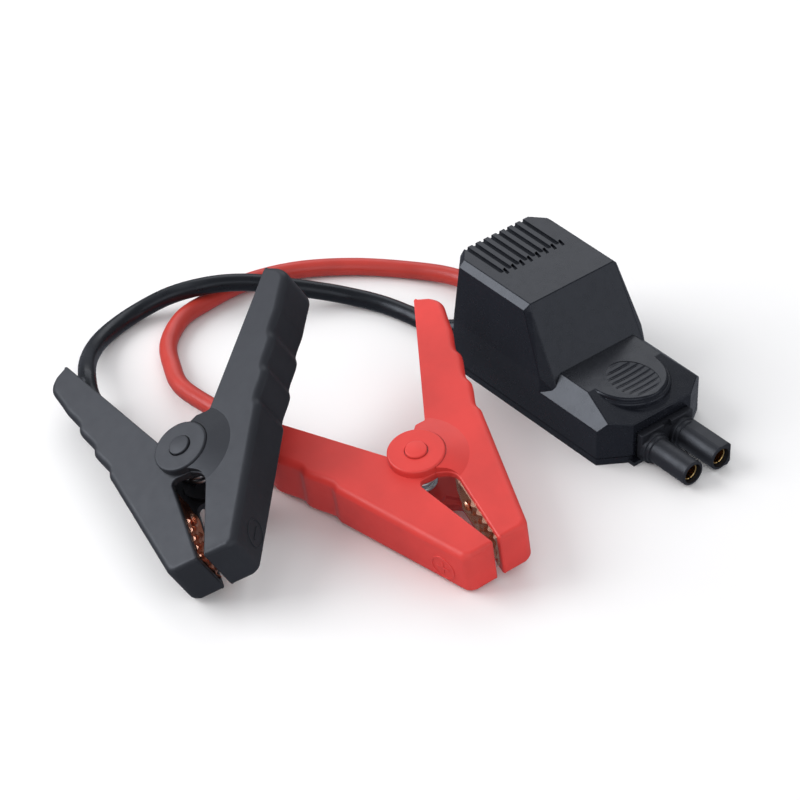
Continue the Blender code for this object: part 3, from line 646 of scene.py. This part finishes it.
def sockets():
    """Sprung contact tubes with a rolled lip and a cross of slits."""
    for sign, name in ((-1, "positive_socket"), (1, "negative_socket")):
        centre = (0.0, sign * BARREL_Y, BARREL_Z)
        profile = rounded([(1.7, 28.5, 0), (1.7, 42.5, 0), (SOCKET_R, 42.5, 0.2), (SOCKET_R, 58.2, 0.3),
                           (2.3, 58.2, 0.3), (2.3, 46.0, 0)], False, 20)
        tube = turned(name + "_tube", profile, 56, centre, "X")
        cut(tube, box("slit", (50.0, centre[1] - 0.25, -1.0), (60.0, centre[1] + 0.25, 12.0)))
        place(tube, MODULE, "module", PAINTS["brass"], "brass", name)


def strain_relief(colour, sign):
    """Rubber grommet with rounded collars that clips into the rear wall."""
    bore = LEAD_R + 0.2
    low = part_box(f"{colour}_grommet")[0].x / MM
    profile = rounded([(bore, low, 0.2), (4.1, low, 0.5), (4.9, REAR_X - 0.4, 0.3), (4.9, REAR_X - 0.1, 0),
                       (4.3, REAR_X, 0), (4.3, -35.3, 0), (bore, -35.3, 0)], True, 20)
    ring = turned(f"{colour}_grommet_ring", profile, 56, (0.0, sign * LEAD_EXIT_Y, LEAD_EXIT_Z), "X", True)
    place(ring, MODULE, "module", PAINTS["rubber"], "grommet_rubber", f"{colour}_grommet")


# ---------------------------------------------------------------- clamps

def clamp_matrix(colour):
    """From a clamp's own frame in millimetres to the part's frame in metres, read from its two joints."""
    joints = {joint["name"]: joint for joint in frame["joints"]}
    pivot = Vector(joints[f"{colour}_clamp_hinge"]["pos_m"])
    z_axis = Vector(joints[f"{colour}_clamp_hinge"]["axis"]).normalized()
    to_tail = Vector(joints[f"{colour}_lead_flex"]["pos_m"]) - pivot
    to_tail = (to_tail - z_axis * to_tail.dot(z_axis)).normalized()
    tail_angle = math.atan2(ENTRY[1], ENTRY[0])
    x_axis = to_tail * math.cos(tail_angle) - z_axis.cross(to_tail) * math.sin(tail_angle)
    rotation = Matrix((x_axis, z_axis.cross(x_axis), z_axis)).transposed().to_4x4()
    return Matrix.Translation(pivot) @ rotation @ Matrix.Scale(MM, 4)


def mirrored(plan, sign):
    """Plan of the +Y half, or its mirror image for the -Y half."""
    return [(x, y) for x, y in plan] if sign > 0 else [(x, -y) for x, y in plan][::-1]


def grip_y(x):
    """Outer edge of a half along the grip: a straight run with a soft dip close behind each crest."""
    line = CREST_Y - GRIP_SLOPE * (x - CREST_X)
    turns = (CREST_X - x) / CREST_PITCH
    if turns <= 0 or turns >= 3:
        return line
    share = turns % 1.0
    phase = share / DIP_SHARE if share < DIP_SHARE else 1 + (share - DIP_SHARE) / (1 - DIP_SHARE)
    return line - CREST_DEPTH * (0.5 - 0.5 * math.cos(math.pi * phase))


def half_outline(sign):
    """Plan of one half on the +Y side, counter-clockwise; half A is squarer in the opening's root."""
    if sign > 0:
        opening = [(8.4, -0.6, 0), (12.4, 5.75, 4.5)]
        root = [(-10.9, 10.0, 2.0), (-10.3, 6.0, 1.0), (-7.6, 3.6, 1.0), (-4.0, -0.6, 0)]
    else:
        opening = [(9.2, -0.6, 0), (9.2, 5.85, 1.8)]
        root = [(-5.6, 7.0, 0), (-4.0, -0.6, 0)]
    jaw = rounded(opening + [(43.1, 0.95, 0.9), (*JAW_CORNER, 3.4), (*JAW_BACK, 0)], False)
    grip = []
    steps = 114
    for k in range(steps + 1):
        x = CREST_X - GRIP_LENGTH * k / steps
        grip.append(Vector((x, grip_y(x))))
    tail = rounded([(-42.5, 39.94, 0), (-52.4, 43.7, 5.0), (-56.9, 36.1, 1.0)] + root, False)
    return jaw + grip + tail


def edge_round(x, y):
    """Wanted rounding radius at a point of the +Y outline."""
    if x > 40.9 and y < 8.5:
        return END_ROUND
    middle = 14.0 - x * 0.2 if x > 0 else 14.0 - x * 0.41
    return OUTER_ROUND if y > middle else INNER_ROUND


def inward_normals(plan):
    """Unit normal into the plan at each of its points."""
    normals = []
    count = len(plan)
    for i in range(count):
        before = (plan[i] - plan[i - 1]).normalized()
        after = (plan[(i + 1) % count] - plan[i]).normalized()
        along = (before + after).normalized()
        normals.append(Vector((-along.y, along.x)))
    return normals


def half_block(sign):
    """Solid body of a half with rounded edges, wide along the grip and narrow along the inner edge."""
    plan = half_outline(sign)
    count = len(plan)
    radii = [edge_round(*p) for p in plan]
    for _ in range(8):
        radii = [(radii[i - 1] + radii[i] * 2 + radii[(i + 1) % count]) / 4 for i in range(count)]
    inward = inward_normals(plan)
    rings = []
    turns = [math.radians(10 * k) for k in range(10)]
    for side, order in ((-1, turns), (1, turns[::-1])):
        for turn in order:
            ring = []
            for point, radius, normal in zip(plan, radii, inward):
                spot = point + normal * (radius * (1 - math.sin(turn)))
                ring.append((spot.x, sign * spot.y, side * (HALF_T - radius + radius * math.cos(turn))))
            rings.append(ring if sign > 0 else ring[::-1])
    return rings


def pocket(sign):
    """Channel inside a half, open along its inner edge."""
    plan = [(8.0, -1.0), (40.8, -1.0), (41.0, 9.0), (-4.4, 23.7), (-6.5, 23.4), (-47.0, 38.2), (-51.0, 39.2),
            (-53.0, 38.2), (-54.4, 37.0), (-60.0, 37.0), (-60.0, 31.0), (-13.0, 4.0), (-9.0, -1.0)]
    depth = HALF_T - CHEEK
    return slab("pocket", mirrored(plan, sign), -depth, depth)


def rivet_pillar(sign):
    low = RIVET_X - 2.2
    high = RIVET_X + 2.2
    plan = [(low, plate_back(low) + 0.3), (high, plate_back(high) + 0.3), (high, 16.5), (low, 17.5)]
    depth = HALF_T - CHEEK + 0.2
    return slab("pillar", mirrored(plan, sign), -depth, depth)


def on_jaw(obj, sign, x):
    """Turn a piece built along +Z so that it stands out from the middle plane at x."""
    turn = Matrix(((1, 0, 0, x), (0, 0, sign, 0), (0, 1, 0, 0), (0, 0, 0, 1)))
    obj.data.transform(turn)
    if turn.determinant() < 0:
        obj.data.flip_normals()
    return obj


def polarity_mark(sign, plus):
    """Raised ring with a plus or a minus, on the outer wall near the jaw tip."""
    ring = rounded([(MARK_R - 0.75, -0.6, 0), (MARK_R - 0.65, 0.28, 0.12), (MARK_R - 0.1, 0.28, 0.12),
                    (MARK_R, -0.6, 0)], True, 30)
    mark = turned("mark", ring, 64, closed=True)
    bars = [box("bar", (-2.3, -0.4, -0.6), (2.3, 0.4, 0.26), 0.1)]
    if plus:
        bars.append(box("bar", (-0.4, -2.3, -0.6), (0.4, 2.3, 0.26), 0.1))
        bars = [join(*bars)]
    attach(mark, *bars)
    run = JAW_CORNER - JAW_BACK
    wall = Vector((run.x, run.y, 0.0)).normalized()
    out = Vector((-run.y, run.x, 0.0)).normalized()
    spot = Vector((MARK_X, JAW_BACK.y + run.y / run.x * (MARK_X - JAW_BACK.x), MARK_Z))
    turn = Matrix((wall, (0.0, 0.0, -1.0), out)).transposed().to_4x4()
    turn.translation = spot
    mark.data.transform(turn)
    if sign < 0:
        mark.data.transform(Matrix.Diagonal((1.0, -1.0, 1.0, 1.0)))
        mark.data.flip_normals()
    return mark


def disc(low, high):
    """Round ear with a rounded outer rim."""
    outer = high if high > 0 else low
    inner = low if high > 0 else high
    profile = rounded([(DISC_R, inner, 0), (DISC_R, outer, 0.7), (1.0, outer, 0)], False, 15)
    return turned("disc", profile, 96)


def flare(side):
    """Cone that rises on a cheek of half B towards the disc."""
    slope = (FLARE_TOP - HALF_T) / (FLARE_R - DISC_R - 0.4)
    low = HALF_T - slope
    foot_r = FLARE_R + 1.0
    profile = [(foot_r, low - 0.5), (foot_r, low), (DISC_R, low + slope * (foot_r - DISC_R))]
    cone = turned("flare", [(radius, side * z) for radius, z in profile], 144)
    plan = half_outline(1)
    inner = [point + normal * INNER_ROUND for point, normal in zip(plan, inward_normals(plan))]
    ends = sorted((side * (low - 1.0), side * (FLARE_TOP + 1.0)))
    return trim(cone, slab("flare_plan", inner, *ends))


def crease_flare(shell, to_clamp):
    """Keep the cone's foot a crisp line."""
    spots = [to_clamp @ vertex.co for vertex in shell.data.vertices]
    on_foot = [abs(spot.xy.length - FLARE_R) < 0.3 and abs(abs(spot.z) - HALF_T) < 0.1 for spot in spots]
    for edge in shell.data.edges:
        if all(on_foot[i] for i in edge.vertices):
            edge.use_edge_sharp = True


def handle_shell(colour, letter, matrix, body):
    sign = 1 if letter == "b" else -1
    shell = skin(f"{colour}_half_{letter}_shell", half_block(sign))
    cut(shell, pocket(sign))
    join(shell, rivet_pillar(sign))
    if letter == "a":
        cut(shell, rod("boss_room", DISC_R + 0.3, -DISC_LOW, DISC_LOW, 72))
        join(shell, disc(DISC_LOW, DISC_TOP), disc(-DISC_TOP, -DISC_LOW))
        cut(shell, rod("pin_bore", PIN_R + 0.3, -15.0, 15.0), rod("cap_seat", CAP_R + 0.25, 9.6, 12.0, 64),
            rod("cap_seat", CAP_R + 0.25, -12.0, -9.6, 64))
    else:
        join(shell, flare(1), flare(-1))
        seat_r = DISC_R + 0.15
        cut(shell, rod("seat", seat_r, BOSS_TOP, 13.0, 96), rod("seat", seat_r, -13.0, -BOSS_TOP, 96))
        angles = [math.radians(160 + 9 * i) for i in range(26)]
        ear = [(BOSS_R * math.cos(angle), BOSS_R * math.sin(angle)) for angle in angles]
        ear += [(11.5, 6.2), (10.0, 10.5), (0.0, 14.0), (-9.5, 11.0)]
        join(shell, slab("ear", ear, BOSS_LOW, BOSS_TOP), slab("ear", ear, -BOSS_TOP, -BOSS_LOW))
        cut(shell, rod("pin_bore", PIN_R + 0.3, -15.0, 15.0))
    attach(shell, polarity_mark(sign, colour == "red"))
    # The red shells would otherwise tinge the gloss of the black plastic beside them.
    shell.visible_glossy = colour == "black"
    slot = f"clamp_{colour}"
    place(shell, matrix, body, PAINTS[colour], slot, f"{colour}_handle_{letter}", smooth=30)
    crease_flare(shell, matrix.inverted())


def pin_cap(colour, side, matrix, body):
    """Pressed-in cap over the pin, slightly crowned."""
    sign = 1 if side == "top" else -1
    profile = [(CAP_R, 9.7)]
    profile += rounded([(CAP_R, 9.7, 0), (CAP_R, CAP_TOP - 0.1, 0.45), (0.3, CAP_TOP, 0)], False, 15)[1:]
    cap = turned(f"{colour}_cap_{side}_shell", [(radius, sign * z) for radius, z in profile], 64)
    place(cap, matrix, body, PAINTS[colour], f"clamp_{colour}", f"{colour}_pin_cap_{side}")


def plate_back(x):
    return PLATE_START_Y - (x - PLATE_START_X) * PLATE_SLOPE


def tooth(x, z):
    """Height of the pressed bumps of a jaw plate: rows across the jaw, scalloped along them."""
    if x < TOOTH_START_X:
        return 0.0
    row = 0.5 - 0.5 * math.cos(2 * math.pi * (x - TOOTH_START_X) / TOOTH_PITCH)
    return TOOTH_RISE * row * (0.7 - 0.3 * math.cos(2 * math.pi * z / 4.0))


def jaw_plate(colour, letter, matrix, body):
    """Pressed copper strip with rows of rounded teeth, and a narrow tail that reaches back to the spring."""
    sign = 1 if letter == "b" else -1
    rings = []
    spans = 96
    rows = 32
    for i in range(spans + 1):
        x = PLATE_START_X + (PLATE_END_X - PLATE_START_X) * i / spans
        back = plate_back(x)
        zs = [PLATE_HALF_Z * (2 * j / rows - 1) for j in range(rows + 1)]
        ring = [(x, sign * (back - PLATE_T - tooth(x, z)), z) for z in zs]
        ring += [(x, sign * (back - 0.5 * tooth(x, z)), z) for z in zs[::-1]]
        rings.append(ring)
    strip = skin(f"{colour}_plate_{letter}_strip", rings)
    back = plate_back(PLATE_START_X)
    tail = mirrored([(8.9, 7.2), (15.4, back - PLATE_T), (15.8, back), (9.3, 8.3)], sign)
    attach(strip, slab("tail", tail, -4.4, 4.4))
    place(strip, matrix, body, PAINTS["copper"], "copper", f"{colour}_jaw_plate_{letter}", smooth=40)


def rivet(colour, letter, matrix, body):
    """Domed rivet through the plate."""
    sign = 1 if letter == "b" else -1
    head = plate_back(RIVET_X) - PLATE_T - 0.45
    profile = [(0.4, head - 1.15), (1.2, head - 1.0), (1.9, head - 0.6), (2.3, head - 0.05),
               (2.25, head), (1.0, head), (1.0, 13.4)]
    stud = on_jaw(turned(f"{colour}_rivet_{letter}_stud", profile, 40), sign, RIVET_X)
    place(stud, matrix, body, PAINTS["copper"], "copper", f"{colour}_plate_rivet_{letter}")


def torsion_spring(colour, matrix, lead_half, free_half):
    """Round-wire coil on the pin: coil and first leg stay with half A, the other leg with half B."""
    height = 4.1
    turns = 3 + 2 / 3
    steps = 130
    coil = []
    for i in range(steps + 1):
        share = i / steps
        angle = math.radians(-60) - 2 * math.pi * turns * share
        z = height * (2 * share - 1)
        coil.append(Vector((SPRING_R * math.cos(angle), SPRING_R * math.sin(angle), z)))
    leg_a = [Vector((-22.0, -24.5, -height)), Vector((-12.0, -15.8, -height))]
    leg_b = [Vector((-12.0, 15.8, height)), Vector((-22.0, 24.5, height))]
    wire = circle(SPRING_WIRE_R, 14)
    last = 6                 # steps of the coil that belong to the second leg
    pieces = (("coil", leg_a + coil[:-last], lead_half), ("leg", coil[-last - 1:] + leg_b, free_half))
    for name, path, body in pieces:
        piece = skin(f"{colour}_spring_{name}", tube_rings(path, wire))
        place(piece, matrix, body, PAINTS["steel"], "steel", f"{colour}_torsion_spring", smooth=50)


def ferrule(colour, matrix, body):
    """Copper crimp tube with two pressed waists."""
    outer = 2.6
    inner = 1.75
    start = 5.0
    length = 7.5
    steps = 29
    angles = [2 * math.pi * i / 40 for i in range(40)]
    rings = []
    for radius in (outer, inner):
        order = range(steps + 1) if radius == outer else range(steps, -1, -1)
        for k in order:
            x = start + length * k / steps
            waist = 0.32 * (math.exp(-((x - 7.0) / 0.7) ** 2) + math.exp(-((x - 10.4) / 0.7) ** 2))
            flat = radius - (waist if radius == outer else 0.0)
            rings.append([(x, FERRULE_Y + flat * math.cos(angle), radius * math.sin(angle))
                          for angle in angles])
    tube = skin(f"{colour}_ferrule_tube", rings, closed=True)
    place(tube, matrix, body, PAINTS["copper"], "copper", f"{colour}_crimp_ferrule")


def stranded_core(name, centre, low, high, matrix, body, node):
    """Stripped lead end: six strands twisted round a straight one."""
    strands = []
    radius = 0.53
    for k in range(7):
        path = []
        for i in range(25):
            x = low + (high - low) * i / 24
            angle = 2 * math.pi * (k / 6 + (x - low) / 16)
            reach = 0.0 if k == 6 else 2 * radius
            path.append(Vector((x, centre[0] + reach * math.cos(angle), centre[1] + reach * math.sin(angle))))
        strands.append(skin(name, tube_rings(path, circle(radius, 12))))
    attach(*strands)
    place(strands[0], matrix, body, PAINTS["copper"], "copper", node, smooth=50)


def clamp(colour):
    lead_half = f"{colour}_lead_half"
    free_half = f"{colour}_free_half"
    matrix = clamp_matrix(colour)
    for letter, body in (("a", lead_half), ("b", free_half)):
        handle_shell(colour, letter, matrix, body)
        jaw_plate(colour, letter, matrix, body)
        rivet(colour, letter, matrix, body)
    pin_cap(colour, "top", matrix, lead_half)
    pin_cap(colour, "bottom", matrix, lead_half)
    torsion_spring(colour, matrix, lead_half, free_half)
    ferrule(colour, matrix, lead_half)
    spot = (FERRULE_Y, 0.0)
    stranded_core(f"{colour}_clamp_strands", spot, 2.6, 14.0, matrix, lead_half, f"{colour}_clamp_core")


# ---------------------------------------------------------------- leads

def lead(colour, sign):
    """Insulated lead: a run that lies on the floor, and a last stretch that runs into its clamp."""
    y = sign * LEAD_EXIT_Y
    run = [(-31.0, y, LEAD_EXIT_Z), (-38.0, y, LEAD_EXIT_Z)]
    rest = LEAD_REST_Z
    if colour == "red":
        run += [(-44.0, y, 5.5), (-55.0, 9.8, 4.8), (-68.3, 6.1, 3.9), (-79.7, -0.6, rest),
                (-93.8, -14.0, rest), (-104.8, -30.4, rest), (-109.8, -47.4, rest),
                (-109.5, -62.7, rest), (-107.7, -74.0, rest), (-99.6, -86.1, rest),
                (-88.4, -93.3, 3.6), (-77.0, -98.5, 5.2)]
    else:
        run += [(-42.6, -11.8, 5.4), (-47.0, -13.9, 4.1), (-53.5, -15.6, 3.2), (-61.4, -17.0, rest),
                (-71.8, -20.2, rest), (-82.7, -27.3, 4.0), (-92.7, -40.1, 7.6), (-102.7, -51.7, CROSSING_Z),
                (-109.3, -61.8, CROSSING_Z), (-116.3, -72.4, 6.5), (-119.4, -84.6, 3.2),
                (-116.2, -98.5, 3.4), (-109.3, -109.4, 5.6)]
    inside = [(-57.0, -33.4, 0.0), (-47.0, -32.6, 0.0), (-33.0, -26.0, 0.0), (-16.0, -17.4, 0.0),
              (-6.0, -14.2, 0.0), (2.0, FERRULE_Y, 0.0)]
    matrix = clamp_matrix(colour)
    points = [Vector(p) for p in run] + [matrix @ Vector(p) / MM for p in inside]
    per_span = 12
    path = spline(points, per_span)
    rings = tube_rings(path, circle(LEAD_R, 36))
    split = (len(run) - 3) * per_span
    names = (f"{colour}_lead_run", f"{colour}_lead_end")
    for name, part in zip(names, (rings[:split + 1], rings[split:])):
        body = "module" if name.endswith("run") else None
        piece = skin(name, part)
        place(piece, MODULE, body, PAINTS[f"lead_{colour}"], f"lead_{colour}", f"{colour}_lead", smooth=60)
    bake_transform(piece)
    spot = (y, LEAD_EXIT_Z)
    stranded_core(f"{colour}_module_strands", spot, -30.6, -25.0, MODULE, "module", f"{colour}_module_core")


# ---------------------------------------------------------------- kept CAD nodes

def dress(node, paint, width=0.0):
    """Give a CAD node that stays its material, and rounded edges where they show."""
    obj = frame["nodes"][node]
    obj.data.materials.clear()
    obj.data.materials.append(PAINTS[paint])
    if width:
        mod = obj.modifiers.new("Edges", "BEVEL")
        mod.width = width * MM
        mod.segments = 3
        mod.limit_method = "ANGLE"
        mod.angle_limit = math.radians(35)
        mod.harden_normals = True


def kept_nodes():
    dress("base_cover", "housing", 0.25)
    dress("circuit_board", "board", 0.1)
    for node in ("relay", "diode_block", "controller_chip", "filter_capacitor", "buzzer"):
        dress(node, "component", 0.2)
    for node in ("positive_bar", "negative_bar"):
        dress(node, "brass", 0.15)
    for number in range(1, 5):
        dress(f"housing_screw_{number}", "steel", 0.1)
    for colour in ("red", "black"):
        dress(f"{colour}_pivot_pin", "steel", 0.2)


# ---------------------------------------------------------------- floor, light and camera

def stage_floor():
    n = Nodes("studio_floor")
    n.set(Base_Color=n.tint(n.noise(60.0, 3.0), (0.90, 0.90, 0.905), (0.92, 0.92, 0.925)), Roughness=0.8,
          Specular_IOR_Level=0.1, Normal=n.bump(n.noise(1.5, 3.0), 0.02))
    bm = bmesh.new()
    bmesh.ops.create_grid(bm, x_segments=8, y_segments=8, size=6.0)
    mesh = bpy.data.meshes.new("studio_floor")
    bm.to_mesh(mesh)
    bm.free()
    floor = bpy.data.objects.new("studio_floor", mesh)
    bpy.context.scene.collection.objects.link(floor)
    mesh.materials.append(n.material)
    floor.visible_glossy = False


AIM = Vector((-0.0319, -0.0463, 0.0))        # metres
AZIMUTH = math.radians(49.4)
ELEVATION = math.radians(37.7)
DISTANCE = 1.266
RIGHT = Vector((math.cos(AZIMUTH), math.sin(AZIMUTH), 0.0))
AHEAD = Vector((-math.sin(AZIMUTH), math.cos(AZIMUTH), 0.0))
UP = Vector((0.0, 0.0, 1.0))


def softbox(name, right, ahead, up, distance, width, height, radiance, colour=(1.0, 1.0, 1.0)):
    """Area light seen from the object in a direction of (right, ahead, up) of the camera."""
    towards = (RIGHT * right + AHEAD * ahead + UP * up).normalized()
    light = bpy.data.lights.new(name, "AREA")
    light.shape = "RECTANGLE"
    light.size = width
    light.size_y = height
    light.energy = radiance * math.pi * width * height
    light.color = colour
    obj = bpy.data.objects.new(name, light)
    obj.location = AIM + towards * distance
    obj.rotation_mode = "QUATERNION"
    obj.rotation_quaternion = towards.to_track_quat("Z", "Y")
    bpy.context.scene.collection.objects.link(obj)


def backdrop(nodes, links, low, high):
    """Studio surroundings, brighter overhead than at the horizon."""
    split = nodes.new("ShaderNodeSeparateXYZ")
    place = nodes.new("ShaderNodeTexCoord")
    ramp = nodes.new("ShaderNodeValToRGB")
    sky = nodes.new("ShaderNodeBackground")
    links.new(place.outputs["Generated"], split.inputs["Vector"])
    links.new(split.outputs["Z"], ramp.inputs["Fac"])
    links.new(ramp.outputs["Color"], sky.inputs["Color"])
    ramp.color_ramp.elements[0].color = (*low, 1.0)
    ramp.color_ramp.elements[1].position = 0.35
    ramp.color_ramp.elements[1].color = (*high, 1.0)
    return sky.outputs["Background"]


def studio():
    softbox("key_left", -0.85, 0.06, 0.53, 1.0, 0.8, 0.8, 4.4)
    softbox("top_back", 0.0, 0.79, 0.61, 1.5, 1.3, 0.9, 1.1)
    softbox("right_low", 0.93, -0.29, 0.24, 1.3, 0.9, 0.6, 0.7)
    softbox("fill_front", 0.25, -1.0, 0.7, 1.5, 1.4, 1.0, 0.8)
    world = bpy.data.worlds.new("studio")
    world.use_nodes = True
    nodes = world.node_tree.nodes
    links = world.node_tree.links
    ray = nodes.new("ShaderNodeLightPath")
    mix = nodes.new("ShaderNodeMixShader")
    links.new(ray.outputs["Is Diffuse Ray"], mix.inputs["Fac"])
    links.new(backdrop(nodes, links, (0.18, 0.19, 0.22), (0.22, 0.225, 0.24)), mix.inputs[1])
    links.new(backdrop(nodes, links, (0.66, 0.66, 0.67), (0.66, 0.66, 0.67)), mix.inputs[2])
    links.new(mix.outputs["Shader"], nodes["World Output"].inputs["Surface"])
    nodes.remove(nodes["Background"])
    bpy.context.scene.world = world


def camera():
    lens = bpy.data.cameras.new("camera")
    lens.lens = 180.0
    lens.sensor_width = 36.0
    obj = bpy.data.objects.new("camera", lens)
    back = -AHEAD * math.cos(ELEVATION) + UP * math.sin(ELEVATION)
    obj.location = AIM + back * DISTANCE
    obj.rotation_mode = "QUATERNION"
    obj.rotation_quaternion = (-back).to_track_quat("-Z", "Y")
    bpy.context.scene.collection.objects.link(obj)
    bpy.context.scene.camera = obj
    bpy.context.scene.view_settings.view_transform = "Standard"


module_shell()
plug_shell()
sockets()
strain_relief("red", 1)
strain_relief("black", -1)
for clamp_colour, side_sign in (("red", 1), ("black", -1)):
    clamp(clamp_colour)
    lead(clamp_colour, side_sign)
kept_nodes()
stage_floor()
studio()
camera()
